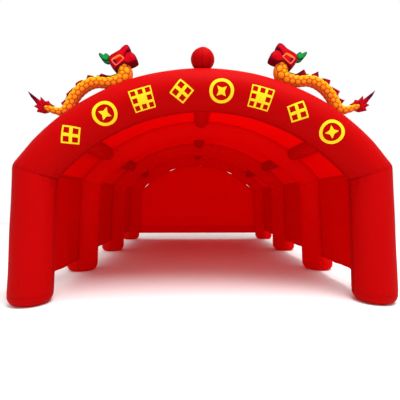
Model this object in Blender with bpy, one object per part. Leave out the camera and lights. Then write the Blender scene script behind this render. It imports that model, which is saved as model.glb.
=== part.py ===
# Inflatable arch tent: four air-filled arches joined front to back by three rows of beams,
# with thin roof cloth, side walls and a back wall between them, and two inflated dragons
# that face a ball on the crown of the front arch.
# Metres, +Z up. The front is towards -Y, and the origin is on the ground under the middle.
import math

import bmesh
import bpy
from mathutils import Vector

# Arches
ARCH_PLACES = (-4.425, -1.845, 1.215, 4.425)
TUBE_RADIUS = 0.355
TUBE_SIDES = 20
ARC_RADIUS = 3.57
ARC_CENTRE_HEIGHT = -0.02
ARC_STEPS = 18
SHOULDER_HALF_SPAN = 2.81
SHOULDER_RADIUS = 0.342
BY_SHOULDER_RADIUS = 0.351
FOOT_HALF_SPAN = 2.90
FOOT_FLAT_RADIUS = 0.22
FOOT_ROUNDING = 0.17
FOOT_RING_HEIGHTS = (0.0, 0.03, 0.09, 0.17)
LEG_RING_HEIGHTS = (0.95, 1.75)

# Beams between the arches
BEAM_RADIUS = 0.15
BEAM_SIDES = 12
HAUNCH_ANGLE = 38.0

# Cloth
CLOTH = 0.002
GAP = 0.0003
SEAM_GAP = 0.0008
ROOF_SAG = 0.03
SHEET_STEPS_ALONG_Y = 6
WALL_STEPS_ALONG_Y = 10
# Height of each side wall's hem above the ground, from the front bay to the back one
WALL_HEMS = {"left": (0.30, 0.37, 0.37), "right": (0.36, 0.37, 0.37)}
BACK_WALL_HEM_HEIGHT = 0.25
BACK_WALL_BAND_TOP = 0.545
# Gaps where the back wall hangs free of the arc between its lacings: the arc's step from the
# left, and the gap's depth
LACING_GAPS = {1: 0.04, 5: 0.035, 9: 0.012, 13: 0.04, 16: 0.04}
LACING_STEPS = 4
# Soft upright folds of a side wall: place along the bay from front to back, width, depth
WALL_FOLDS = (
    (0.16, 0.10, 0.030),
    (0.38, 0.12, -0.022),
    (0.60, 0.10, 0.026),
    (0.84, 0.09, -0.018),
)

# Ball on the crown
BALL_RADIUS = 0.2
BALL_HEIGHT = 4.07
BALL_ACROSS = -0.03

# A dragon lies over the front arch. The tables give the distance from the tent's middle and
# the height of each point, so that the same rows serve the left and the right dragon. The two
# sit a little unevenly: each is moved outwards and up by its own small amounts.
DRAGON_SHIFTS = {"left": (0.0, -0.027), "right": (-0.032, 0.024)}
BODY_SIDES = 10
# distance, height, radius, from inside the head to the tail
DRAGON_BODY = (
    (1.380, 4.049, 0.098),
    (1.354, 3.965, 0.106),
    (1.325, 3.889, 0.116),
    (1.320, 3.822, 0.123),
    (1.363, 3.752, 0.118),
    (1.447, 3.712, 0.112),
    (1.548, 3.694, 0.099),
    (1.649, 3.688, 0.089),
    (1.776, 3.702, 0.092),
    (1.894, 3.678, 0.095),
    (2.003, 3.617, 0.095),
    (2.113, 3.519, 0.095),
    (2.202, 3.392, 0.095),
    (2.262, 3.272, 0.096),
    (2.352, 3.212, 0.080),
    (2.474, 3.222, 0.058),
    (2.585, 3.256, 0.052),
    (2.670, 3.280, 0.044),
)
HEAD_CENTRE = (1.396, 4.066)
# distance, height, around the head from the nape over the brow and the jaws to the cheek
HEAD_OUTLINE = (
    (1.585, 4.062),
    (1.553, 4.120),
    (1.447, 4.174),
    (1.388, 4.218),
    (1.354, 4.261),
    (1.310, 4.299),
    (1.265, 4.302),
    (1.236, 4.265),
    (1.229, 4.218),
    (1.260, 4.174),
    (1.196, 4.177),
    (1.148, 4.140),
    (1.115, 4.074),
    (1.108, 4.032),
    (1.160, 3.998),
    (1.243, 3.965),
    (1.320, 3.978),
    (1.396, 3.926),
    (1.475, 3.867),
    (1.540, 3.941),
    (1.580, 4.009),
)
# share of the outline, distance from the middle plane
HEAD_LAYERS = ((1.0, 0.055), (0.97, 0.098), (0.84, 0.128))
HORN_CENTRE = (1.655, 4.090)
HORN_OUTLINE = (
    (1.560, 4.113),
    (1.609, 4.157),
    (1.641, 4.164),
    (1.664, 4.135),
    (1.702, 4.157),
    (1.739, 4.169),
    (1.749, 4.140),
    (1.725, 4.096),
    (1.681, 4.049),
    (1.632, 4.029),
    (1.560, 4.036),
)
HORN_LAYERS = ((1.0, 0.010), (0.6, 0.026))
HORN_SPREAD = 0.062
TUFT_CENTRE = (2.703, 3.332)
TUFT_OUTLINE = (
    (2.939, 3.552),
    (2.872, 3.501),
    (2.796, 3.442),
    (2.728, 3.391),
    (2.728, 3.462),
    (2.644, 3.378),
    (2.593, 3.391),
    (2.568, 3.349),
    (2.492, 3.302),
    (2.585, 3.197),
    (2.653, 3.175),
    (2.791, 3.206),
    (2.762, 3.251),
    (2.838, 3.298),
    (2.787, 3.324),
    (2.830, 3.383),
    (2.892, 3.459),
)
TUFT_LAYERS = ((1.0, 0.007), (0.7, 0.030))
EYE_OUTLINE = (
    (1.534, 4.056),
    (1.522, 4.080),
    (1.412, 4.136),
    (1.352, 4.110),
    (1.348, 4.090),
    (1.468, 3.992),
    (1.500, 3.990),
    (1.526, 4.020),
)
EYE_THICKNESS = 0.003
# The back fin's teeth: share of the body's length at the start, tip and end, and height
FIN_TEETH = (
    (0.284, 0.372, 0.390, 0.075),
    (0.425, 0.464, 0.480, 0.070),
    (0.500, 0.565, 0.580, 0.062),
    (0.610, 0.671, 0.688, 0.062),
    (0.720, 0.787, 0.802, 0.075),
)
# The left fin stands up less than the right one
FIN_RISES = {"left": 0.55, "right": 1.0}
FIN_BASE_HEIGHT = 0.012
FIN_THICKNESS = 0.012
FIN_ROWS = (4, 14)
FIN_CLOSEST = 0.02

COLOURS = {
    "red_cloth": (0.62, 0.004, 0.004),
    "roof_cloth": (0.66, 0.006, 0.006),
    "dark_band": (0.32, 0.004, 0.004),
    "gold_scales": (0.95, 0.42, 0.02),
    "dragon_red": (0.50, 0.004, 0.01),
    "horn_green": (0.01, 0.25, 0.05),
    "eye_orange": (0.90, 0.20, 0.03),
}


def clear_scene():
    for old in list(bpy.data.objects):
        bpy.data.objects.remove(old)


def material(name):
    found = bpy.data.materials.get(name)
    if found:
        return found
    made = bpy.data.materials.new(name)
    made.use_nodes = True
    shader = made.node_tree.nodes["Principled BSDF"]
    shader.inputs["Base Color"].default_value = (*COLOURS[name], 1.0)
    shader.inputs["Roughness"].default_value = 0.6
    shader.inputs["Metallic"].default_value = 0.0
    made.diffuse_color = (*COLOURS[name], 1.0)
    return made


def object_from(name, vertices, faces, colour, smooth_degrees=35.0):
    mesh = bpy.data.meshes.new(name)
    mesh.from_pydata(vertices, [], faces)
    shape = bmesh.new()
    shape.from_mesh(mesh)
    bmesh.ops.recalc_face_normals(shape, faces=shape.faces)
    shape.to_mesh(mesh)
    shape.free()
    mesh.shade_smooth()
    mesh.set_sharp_from_angle(angle=math.radians(smooth_degrees))
    mesh.materials.append(material(colour))
    made = bpy.data.objects.new(name, mesh)
    bpy.context.scene.collection.objects.link(made)
    return made


def hide(cutter):
    cutter.hide_render = True
    cutter.display_type = "WIRE"
    return cutter


def cut(target, cutter):
    step = target.modifiers.new("seat_on_" + cutter.name, "BOOLEAN")
    step.operation = "DIFFERENCE"
    step.solver = "EXACT"
    step.object = cutter


def between(low, high, share):
    return low + (high - low) * share


# Arches

SHOULDER_ANGLE = math.asin(SHOULDER_HALF_SPAN / ARC_RADIUS)
SHOULDER_HEIGHT = ARC_CENTRE_HEIGHT + ARC_RADIUS * math.cos(SHOULDER_ANGLE)


def leg_offset(height):
    """Distance of a leg's centre line from the tent's middle."""
    return between(FOOT_HALF_SPAN, SHOULDER_HALF_SPAN, height / SHOULDER_HEIGHT)


def leg_radius(height):
    """Radius of a leg, which narrows from its foot to its shoulder."""
    if height < FOOT_ROUNDING:
        level = 1 - height / FOOT_ROUNDING
        bulge = math.sqrt(1 - level * level)
        return between(FOOT_FLAT_RADIUS, TUBE_RADIUS, bulge)
    share = (height - FOOT_ROUNDING) / (SHOULDER_HEIGHT - FOOT_ROUNDING)
    return between(TUBE_RADIUS, SHOULDER_RADIUS, share)


def arc_radius(angle):
    """Radius of the arched tube, which narrows over its last step to a shoulder."""
    step = SHOULDER_ANGLE / (ARC_STEPS / 2)
    left = SHOULDER_ANGLE - abs(angle)
    if left > 2 * step:
        return TUBE_RADIUS
    if left > step:
        return between(BY_SHOULDER_RADIUS, TUBE_RADIUS, left / step - 1)
    return between(SHOULDER_RADIUS, BY_SHOULDER_RADIUS, left / step)


def arc_point(angle, radius=ARC_RADIUS):
    return radius * math.sin(angle), ARC_CENTRE_HEIGHT + radius * math.cos(angle)


def leg_sections(side, swell):
    """Level rings of one leg from the ground up: centre, outward direction and reaches."""
    found = []
    for height in FOOT_RING_HEIGHTS + LEG_RING_HEIGHTS:
        reach = leg_radius(height) + swell
        found.append(((side * leg_offset(height), height), (side, 0.0), reach, reach))
    return found


def shoulder_section(side, swell):
    """The mitred ring where a leg meets the arc."""
    half_turn = (math.pi / 2 - SHOULDER_ANGLE) / 2
    outward = (side * math.cos(half_turn), math.sin(half_turn))
    reach = SHOULDER_RADIUS + swell
    centre = (side * SHOULDER_HALF_SPAN, SHOULDER_HEIGHT)
    return centre, outward, reach / math.cos(half_turn), reach


def arc_sections(swell):
    found = []
    for step in range(1, ARC_STEPS):
        angle = between(-SHOULDER_ANGLE, SHOULDER_ANGLE, step / ARC_STEPS)
        reach = arc_radius(angle) + swell
        outward = (math.sin(angle), math.cos(angle))
        found.append((arc_point(angle), outward, reach, reach))
    return found


def arch_tube(name, place, swell=0.0):
    sections = leg_sections(-1, swell) + [shoulder_section(-1, swell)] + arc_sections(swell)
    sections += [shoulder_section(1, swell)] + leg_sections(1, swell)[::-1]
    vertices = []
    for (x, z), (out_x, out_z), reach_out, reach_y in sections:
        for side in range(TUBE_SIDES):
            turn = 2 * math.pi * side / TUBE_SIDES
            out = reach_out * math.sin(turn)
            vertices.append((x + out_x * out, place + reach_y * math.cos(turn), z + out_z * out))
    return object_from(name, vertices, tube_faces(len(sections), TUBE_SIDES), "red_cloth")


def tube_faces(rings, sides):
    faces = [tuple(range(sides)), tuple((rings - 1) * sides + k for k in range(sides))[::-1]]
    for ring in range(rings - 1):
        for side in range(sides):
            following = (side + 1) % sides
            low, high = ring * sides, (ring + 1) * sides
            faces.append((low + side, high + side, high + following, low + following))
    return faces


# Beams

def beam(name, angle, front, back):
    x, z = arc_point(angle)
    vertices = []
    for place in (front, back):
        for side in range(BEAM_SIDES):
            turn = 2 * math.pi * side / BEAM_SIDES - angle
            across = BEAM_RADIUS * math.cos(turn)
            up = BEAM_RADIUS * math.sin(turn)
            vertices.append((x + across, place, z + up))
    return object_from(name, vertices, tube_faces(2, BEAM_SIDES), "red_cloth")


def add_beams(cutters):
    haunch = math.radians(HAUNCH_ANGLE)
    rows = (("ridge_beam", 0.0), ("haunch_beam_left", -haunch), ("haunch_beam_right", haunch))
    for bay in range(len(ARCH_PLACES) - 1):
        for row_name, angle in rows:
            made = beam(f"{row_name}_{bay + 1}", angle, ARCH_PLACES[bay], ARCH_PLACES[bay + 1])
            cut(made, cutters[bay])
            cut(made, cutters[bay + 1])


# Cloth sheets

def sheet(name, rows, colour):
    """A sheet with a cloth's thickness from rows of (middle point, face direction).

    Both faces are split along the same diagonals, which keeps the thickness even on a fold.
    """
    across = len(rows[0])
    count = len(rows) * across
    vertices = []
    for side in (0.5, -0.5):
        for row in rows:
            vertices += [tuple(point + facing * side * CLOTH) for point, facing in row]
    faces = []
    for r in range(len(rows) - 1):
        for c in range(across - 1):
            a = r * across + c
            for triangle in ((a, a + 1, a + across + 1), (a, a + across + 1, a + across)):
                faces.append(triangle)
                faces.append(tuple(k + count for k in triangle[::-1]))
    edge = list(range(across))
    edge += [r * across + across - 1 for r in range(1, len(rows))]
    edge += [count - 1 - c for c in range(1, across)]
    edge += [r * across for r in range(len(rows) - 2, 0, -1)]
    for k, first in enumerate(edge):
        second = edge[(k + 1) % len(edge)]
        faces.append((second, first, first + count, second + count))
    return object_from(name, vertices, faces, colour)


def roof_rows(start, end, bay):
    """Rows across the bay at the arc's ring angles, so that the edges follow the tubes."""
    step = SHOULDER_ANGLE / (ARC_STEPS / 2)
    angles = [start]
    angles += [k * step for k in range(ARC_STEPS) if start < k * step < end]
    angles.append(end)
    rows = []
    for angle in angles:
        inset = arc_radius(angle) + GAP
        front, back = ARCH_PLACES[bay] + inset, ARCH_PLACES[bay + 1] - inset
        swing = math.sin(math.pi * (angle - start) / (end - start))
        row = []
        for k in range(SHEET_STEPS_ALONG_Y + 1):
            share = k / SHEET_STEPS_ALONG_Y
            sag = ROOF_SAG * swing * math.sin(math.pi * share)
            x, z = arc_point(angle, ARC_RADIUS - sag)
            facing = Vector((math.sin(angle), 0.0, math.cos(angle)))
            row.append((Vector((x, between(front, back, share), z)), facing))
        rows.append(row)
    return rows


def wall_fold(share):
    swell = sum(
        depth * math.exp(-(((share - middle) / width) ** 2)) for middle, width, depth in WALL_FOLDS
    )
    return swell * math.sin(math.pi * share)


def wall_rows(bay, hem):
    heights = (hem, *LEG_RING_HEIGHTS, SHOULDER_HEIGHT - SEAM_GAP)
    rows = []
    for height in heights:
        inset = leg_radius(height) + GAP
        front, back = ARCH_PLACES[bay] + inset, ARCH_PLACES[bay + 1] - inset
        hang = (heights[-1] - height) / (heights[-1] - hem)
        row = []
        for k in range(WALL_STEPS_ALONG_Y + 1):
            share = k / WALL_STEPS_ALONG_Y
            x = leg_offset(height) - hang * wall_fold(share)
            row.append((Vector((x, between(front, back, share), height)), Vector((1, 0, 0))))
        rows.append(row)
    return rows


def mirrored(rows):
    flip = Vector((-1, 1, 1))
    return [[(point * flip, facing * flip) for point, facing in row[::-1]] for row in rows]


def add_roof_and_sides():
    haunch = math.radians(HAUNCH_ANGLE)
    beam_half = (BEAM_RADIUS + GAP) / ARC_RADIUS
    seam = SEAM_GAP / ARC_RADIUS
    for bay in range(len(ARCH_PLACES) - 1):
        roof = (
            ("roof_upper", roof_rows(beam_half, haunch - beam_half, bay)),
            ("roof_lower", roof_rows(haunch + beam_half, SHOULDER_ANGLE - seam, bay)),
        )
        for kind, rows in roof:
            sheet(f"{kind}_right_{bay + 1}", rows, "roof_cloth")
            sheet(f"{kind}_left_{bay + 1}", mirrored(rows), "roof_cloth")
        sheet(f"side_wall_right_{bay + 1}", wall_rows(bay, WALL_HEMS["right"][bay]), "roof_cloth")
        left = mirrored(wall_rows(bay, WALL_HEMS["left"][bay]))
        sheet(f"side_wall_left_{bay + 1}", left, "roof_cloth")


def flat_sheet(name, outline, place, thickness, colour):
    """A flat sheet parallel to the front, from its outline of (x, z) points."""
    count = len(outline)
    vertices = [(x, place + side * thickness / 2, z) for side in (-1, 1) for x, z in outline]
    faces = [tuple(range(count)), tuple(range(count, 2 * count))[::-1]]
    for k in range(count):
        following = (k + 1) % count
        faces.append((k, k + count, following + count, following))
    return object_from(name, vertices, faces, colour)


def inner_leg_face(height):
    return leg_offset(height) - leg_radius(height)


def add_back_wall():
    """The wall fills the last arch. It is laced to the tube at every ring of the arc."""
    centre, outward, reach, _ = shoulder_section(1, 0.0)
    corner = Vector((centre[0] - outward[0] * reach, centre[1] - outward[1] * reach))
    laced = [corner]
    for step in range(ARC_STEPS - 1, 0, -1):
        angle = between(-SHOULDER_ANGLE, SHOULDER_ANGLE, step / ARC_STEPS)
        laced.append(Vector(arc_point(angle, ARC_RADIUS - arc_radius(angle))))
    laced.append(Vector((-corner.x, corner.y)))
    middle = Vector((0.0, ARC_CENTRE_HEIGHT))
    outline = []
    for k in range(ARC_STEPS):
        depth = LACING_GAPS.get(ARC_STEPS - 1 - k, 0.0)
        for part in range(LACING_STEPS if depth else 1):
            share = part / LACING_STEPS
            point = laced[k].lerp(laced[k + 1], share)
            sag = SEAM_GAP + depth * math.sin(math.pi * share)
            outline.append(tuple(point + (middle - point).normalized() * sag))
    outline.append(tuple(laced[-1] + (middle - laced[-1]).normalized() * SEAM_GAP))
    foot = BACK_WALL_BAND_TOP + SEAM_GAP
    foot_x = inner_leg_face(foot) - SEAM_GAP
    outline = [(foot_x, foot)] + outline + [(-foot_x, foot)]
    place = ARCH_PLACES[-1]
    flat_sheet("back_wall", outline, place, CLOTH, "red_cloth")

    low, high = BACK_WALL_HEM_HEIGHT, BACK_WALL_BAND_TOP
    at_low, at_high = inner_leg_face(low) - GAP, inner_leg_face(high) - GAP
    band = [(at_low, low), (at_high, high), (-at_high, high), (-at_low, low)]
    flat_sheet("back_wall_band", band, place, CLOTH, "dark_band")


# Ball and dragons

def add_ball(seat):
    mesh = bpy.data.meshes.new("crown_ball")
    shape = bmesh.new()
    bmesh.ops.create_uvsphere(shape, u_segments=18, v_segments=12, radius=BALL_RADIUS)
    bmesh.ops.translate(shape, verts=shape.verts, vec=(BALL_ACROSS, ARCH_PLACES[0], BALL_HEIGHT))
    shape.to_mesh(mesh)
    shape.free()
    mesh.shade_smooth()
    mesh.materials.append(material("red_cloth"))
    ball = bpy.data.objects.new("crown_ball", mesh)
    bpy.context.scene.collection.objects.link(ball)
    cut(ball, seat)


def body_rings(swell):
    """Centre, direction and reach of each ring of a dragon's body."""
    points = [Vector((x, 0.0, z)) for x, z, _ in DRAGON_BODY]
    found = []
    for k, point in enumerate(points):
        ahead = points[min(k + 1, len(points) - 1)]
        behind = points[max(k - 1, 0)]
        along = (ahead - behind).normalized()
        outward = along * swell * ((ahead == point) - (behind == point))
        found.append((point + outward, along.cross(Vector((0, 1, 0))), DRAGON_BODY[k][2] + swell))
    return found


def dragon_body(name, side, swell=0.0):
    """The body and tail. Like every piece of a dragon, it is made about the front arch's plane."""
    rings = body_rings(swell)
    vertices = []
    for centre, back, reach in rings:
        for k in range(BODY_SIDES):
            turn = 2 * math.pi * k / BODY_SIDES
            point = centre + back * reach * math.sin(turn) + Vector((0, reach * math.cos(turn), 0))
            vertices.append((side * point.x, point.y, point.z))
    return object_from(name, vertices, tube_faces(len(rings), BODY_SIDES), "gold_scales", 60.0)


def pillow(name, side, outline, centre, layers, colour, middle=0.0, grow=1.0):
    """A stuffed flat shape: layers of its outline, each drawn in towards the centre."""
    mid_x, mid_z = centre
    order = [(share, -reach) for share, reach in layers[::-1]] + list(layers)
    vertices = []
    for share, offset in order:
        for x, z in outline:
            across = mid_x + (x - mid_x) * share * grow
            up = mid_z + (z - mid_z) * share * grow
            vertices.append((side * across, middle + offset * grow, up))
    faces = tube_faces(len(order), len(outline))
    return object_from(name, vertices, faces, colour, 50.0)


def fin_height(share, rise):
    for start, tip, end, height in FIN_TEETH:
        if start <= share <= tip:
            return between(FIN_BASE_HEIGHT, height * rise, (share - start) / (tip - start))
        if tip < share <= end:
            return between(height * rise, FIN_BASE_HEIGHT, (share - tip) / (end - tip))
    return FIN_BASE_HEIGHT


def dragon_fin(name, side, rise):
    """The toothed strip on the spine. Its foot follows the flat facet on top of the body."""
    rings = body_rings(0.0)
    facet = math.cos(math.pi / BODY_SIDES)
    lengths = [0.0]
    for (before, _, _), (after, _, _) in zip(rings, rings[1:]):
        lengths.append(lengths[-1] + (after - before).length)
    marks = sorted({mark for tooth in FIN_TEETH for mark in tooth[:3]})
    lows, highs = [], []
    for k in range(*FIN_ROWS):
        (here, back, reach), (there, next_back, next_reach) = rings[k], rings[k + 1]
        span = lengths[k + 1] - lengths[k]
        marked = [(mark * lengths[-1] - lengths[k]) / span for mark in marks]
        marked = [mark for mark in marked if FIN_CLOSEST < mark < 1 - FIN_CLOSEST]
        for share in sorted([0.0] + marked):
            foot = (here + back * reach * facet).lerp(there + next_back * next_reach * facet, share)
            length = between(lengths[k], lengths[k + 1], share)
            upward = back.lerp(next_back, share).normalized()
            lows.append(foot + upward * GAP)
            highs.append(foot + upward * (GAP + fin_height(length / lengths[-1], rise)))
    outline = lows + highs[::-1]
    count = len(outline)
    vertices = []
    for offset in (-FIN_THICKNESS / 2, FIN_THICKNESS / 2):
        vertices += [(side * p.x, offset, p.z) for p in outline]
    faces = []
    for k in range(len(lows) - 1):
        quad = (k, k + 1, count - 2 - k, count - 1 - k)
        faces.append(quad)
        faces.append(tuple(v + count for v in quad[::-1]))
    for k in range(count):
        following = (k + 1) % count
        faces.append((k, k + count, following + count, following))
    return object_from(name, vertices, faces, "dragon_red")


def eye_patch(name, side, face):
    """A flat sewn patch on the cheek. face is -1 for the front cheek and 1 for the back one."""
    place = face * (HEAD_LAYERS[-1][1] + GAP + EYE_THICKNESS / 2)
    outline = [(side * x, z) for x, z in EYE_OUTLINE]
    return flat_sheet(name, outline, place, EYE_THICKNESS, "eye_orange")


def add_dragon(word, side, seat):
    out, up = DRAGON_SHIFTS[word]
    stand = bpy.data.objects.new(f"dragon_{word}_stand", None)
    stand.location = (side * out, ARCH_PLACES[0], up)
    bpy.context.scene.collection.objects.link(stand)

    body = dragon_body(f"dragon_{word}_body", side)
    head_shape = (side, HEAD_OUTLINE, HEAD_CENTRE, HEAD_LAYERS, "dragon_red")
    head = pillow(f"dragon_{word}_head", *head_shape)
    head_cutter = hide(pillow(f"head_cutter_{word}", *head_shape, grow=1.003))
    cut(body, seat)
    cut(body, head_cutter)
    pieces = [body, head, head_cutter]
    for place, middle in (("front", -HORN_SPREAD), ("back", HORN_SPREAD)):
        horn = pillow(
            f"dragon_{word}_horn_{place}", side, HORN_OUTLINE, HORN_CENTRE, HORN_LAYERS,
            "horn_green", middle=middle,
        )
        cut(horn, head_cutter)
        eye = eye_patch(f"dragon_{word}_eye_{place}", side, -1 if place == "front" else 1)
        pieces += [horn, eye]
    pieces.append(dragon_fin(f"dragon_{word}_fin", side, FIN_RISES[word]))
    tuft = pillow(
        f"dragon_{word}_tail_tuft", side, TUFT_OUTLINE, TUFT_CENTRE, TUFT_LAYERS, "dragon_red"
    )
    body_cutter = hide(dragon_body(f"body_cutter_{word}", side, swell=2 * GAP))
    cut(tuft, body_cutter)
    pieces += [tuft, body_cutter]
    for piece in pieces:
        piece.parent = stand


def main():
    clear_scene()
    cutters = []
    for k, place in enumerate(ARCH_PLACES):
        arch_tube(f"arch_{k + 1}", place)
        cutters.append(hide(arch_tube(f"arch_cutter_{k + 1}", place, swell=1.5 * GAP)))
    add_beams(cutters)
    add_roof_and_sides()
    add_back_wall()
    add_ball(cutters[0])
    add_dragon("left", -1, cutters[0])
    add_dragon("right", 1, cutters[0])


main()
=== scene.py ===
from math import asin, atan2, cos, pi, radians, sin, sqrt, tan

import bmesh
import bpy
import numpy as np
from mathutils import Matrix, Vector
from mathutils.kdtree import KDTree


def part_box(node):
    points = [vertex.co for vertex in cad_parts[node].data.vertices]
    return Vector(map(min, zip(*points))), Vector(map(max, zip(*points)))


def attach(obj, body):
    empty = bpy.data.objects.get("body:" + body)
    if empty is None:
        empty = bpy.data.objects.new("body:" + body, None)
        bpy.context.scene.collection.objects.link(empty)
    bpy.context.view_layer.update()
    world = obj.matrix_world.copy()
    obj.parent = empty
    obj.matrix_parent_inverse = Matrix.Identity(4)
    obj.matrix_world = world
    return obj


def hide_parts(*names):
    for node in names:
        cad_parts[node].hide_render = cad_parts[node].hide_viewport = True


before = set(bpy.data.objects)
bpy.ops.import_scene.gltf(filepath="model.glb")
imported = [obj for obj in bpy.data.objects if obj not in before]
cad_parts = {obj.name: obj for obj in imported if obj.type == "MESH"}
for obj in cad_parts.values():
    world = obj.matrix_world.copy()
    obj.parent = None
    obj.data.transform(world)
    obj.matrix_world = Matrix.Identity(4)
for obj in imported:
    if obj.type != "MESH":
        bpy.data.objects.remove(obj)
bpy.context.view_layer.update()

archPlaces = [sum(corner.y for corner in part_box(f"arch_{k}")) / 2 for k in (1, 2, 3, 4)]
print("frame loaded, arches at", [round(place, 3) for place in archPlaces])


# small tools

def smoothly(value):
    share = np.clip(value, 0.0, 1.0)
    return share * share * (3 - 2 * share)


def bell(distance, width):
    return np.exp(-((distance / width) ** 2))


def together(*values):
    return np.stack(np.broadcast_arrays(*values), axis=-1)


def deselectAll():
    if bpy.context.object and bpy.context.object.mode != "OBJECT":
        bpy.ops.object.mode_set(mode="OBJECT")
    bpy.ops.object.select_all(action="DESELECT")


def makeActive(piece):
    deselectAll()
    piece.select_set(True)
    bpy.context.view_layer.objects.active = piece


def applyModifier(piece, kind, **settings):
    makeActive(piece)
    modifier = piece.modifiers.new(kind.lower(), kind)
    for key, value in settings.items():
        setattr(modifier, key, value)
    bpy.ops.object.modifier_apply(modifier=modifier.name)


def addValues(piece, **values):
    for key, numbers in values.items():
        layer = piece.data.attributes.new(key, "FLOAT", "POINT")
        layer.data.foreach_set("value", np.asarray(numbers, dtype=np.float32).ravel())


def placesOf(piece):
    flat = np.zeros(len(piece.data.vertices) * 3, dtype=np.float32)
    piece.data.vertices.foreach_get("co", flat)
    return flat.reshape(-1, 3).astype(float)


def setPlaces(piece, places):
    piece.data.vertices.foreach_set("co", places.astype(np.float32).ravel())
    piece.data.update()


def addObject(name, data):
    made = bpy.data.objects.new(name, data)
    bpy.context.scene.collection.objects.link(made)
    return made


def newPiece(name, points, faces, uv=None, **values):
    mesh = bpy.data.meshes.new(name)
    mesh.from_pydata([tuple(point) for point in points], [], faces)
    if uv is not None:
        corners = np.zeros(len(mesh.loops), dtype=np.int32)
        mesh.loops.foreach_get("vertex_index", corners)
        layer = mesh.uv_layers.new(name="cloth")
        layer.data.foreach_set("uv", np.asarray(uv, dtype=np.float32)[corners].ravel())
    mesh.update()
    mesh.shade_smooth()
    piece = addObject(name, mesh)
    addValues(piece, **values)
    return piece


def faceOutwards(piece):
    shape = bmesh.new()
    shape.from_mesh(piece.data)
    bmesh.ops.recalc_face_normals(shape, faces=shape.faces)
    if shape.calc_volume(signed=True) < 0:
        bmesh.ops.reverse_faces(shape, faces=shape.faces)
    shape.to_mesh(piece.data)
    shape.free()


def thicken(piece, thickness, offset=0.0):
    applyModifier(piece, "SOLIDIFY", thickness=thickness, offset=offset)
    faceOutwards(piece)


def finishPiece(piece, material, slotName, *nodes):
    piece.data.materials.clear()
    piece.data.materials.append(material)
    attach(piece, "root")
    if nodes:
        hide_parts(*nodes)
    return piece


def gridFaces(rows, columns, closed=False):
    faces = []
    for row in range(rows - 1):
        for column in range(columns if closed else columns - 1):
            following = (column + 1) % columns
            low, high = row * columns, (row + 1) * columns
            faces.append((low + column, low + following, high + following, high + column))
    return faces


def tubeFaces(rings, sides):
    # with both ends closed
    last = (rings - 1) * sides
    ends = [tuple(range(sides)), tuple(last + k for k in range(sides))]
    return gridFaces(rings, sides, closed=True) + ends


def fanFaces(rays, rings):
    # rings of points around the first one
    faces = [(0, 1 + k, 1 + (k + 1) % rays) for k in range(rays)]
    for ring in range(rings - 1):
        low, high = 1 + ring * rays, 1 + (ring + 1) * rays
        faces += [(low + k, high + k, high + (k + 1) % rays, low + (k + 1) % rays) for k in range(rays)]
    return faces


def curved(before, here, there, after, t):
    # the smooth curve from here to there, for a share t of the way
    return 0.5 * (2 * here + (there - before) * t
                  + (2 * before - 5 * here + 4 * there - after) * t ** 2
                  + (3 * here - before - 3 * there + after) * t ** 3)


# materials

def newMaterial(name):
    material = bpy.data.materials.new(name)
    material.use_nodes = True
    tree = material.node_tree
    return material, tree, tree.nodes["Principled BSDF"], tree.nodes["Material Output"]


def node(tree, kind, **inputs):
    made = tree.nodes.new(kind)
    for key, value in inputs.items():
        place = int(key[1:]) if key[0] == "i" and key[1:].isdigit() else key
        if isinstance(value, bpy.types.NodeSocket):
            tree.links.new(value, made.inputs[place])
        else:
            made.inputs[place].default_value = value
    return made


def maths(tree, operation, first, second=0.0):
    made = node(tree, "ShaderNodeMath", i0=first, i1=second)
    made.operation = operation
    return made.outputs[0]


def mixColours(tree, share, first, second):
    made = tree.nodes.new("ShaderNodeMix")
    made.data_type = "RGBA"
    for place, value in ((0, share), (6, first), (7, second)):  # the colours' own sockets are 6 and 7
        if isinstance(value, bpy.types.NodeSocket):
            tree.links.new(value, made.inputs[place])
        else:
            made.inputs[place].default_value = value
    return made.outputs[2]


def colour(red, green, blue):
    return (red, green, blue, 1.0)


def valueOf(tree, name):
    made = tree.nodes.new("ShaderNodeAttribute")
    made.attribute_name = name
    return made.outputs["Fac"]


def setSurface(tree, shader, paint, roughness, gloss):
    tree.links.new(paint, shader.inputs["Base Color"])
    shader.inputs["Roughness"].default_value = roughness
    shader.inputs["Specular IOR Level"].default_value = gloss


def noiseOf(tree, scale, detail=3.0, **more):
    spots = node(tree, "ShaderNodeTexCoord")
    return node(tree, "ShaderNodeTexNoise", Vector=spots.outputs["Object"], Scale=scale,
                Detail=detail, **more).outputs["Fac"]


def bumpOf(tree, height, strength, depth, **more):
    return node(tree, "ShaderNodeBump", Height=height, Strength=strength, Distance=depth, **more).outputs[0]


cloth = {
    "roughness": 0.6,
    "gloss": 0.03,
    "weavePerMetre": 260.0,
    "weaveDepth": 0.0004,
    "weaveStrength": 0.5,
    "creaseScale": 2.2,
    "creaseDepth": 0.012,
    "creaseStrength": 0.35,
    "blotchScale": 0.9,
}


def weaveHeight(tree):
    spots = node(tree, "ShaderNodeTexCoord")
    split = node(tree, "ShaderNodeSeparateXYZ", i0=spots.outputs["UV"])
    threads = []
    for axis in (0, 1):
        turned = maths(tree, "MULTIPLY", split.outputs[axis], cloth["weavePerMetre"] * pi)
        threads.append(maths(tree, "ABSOLUTE", maths(tree, "SINE", turned)))
    return maths(tree, "MAXIMUM", *threads)


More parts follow.
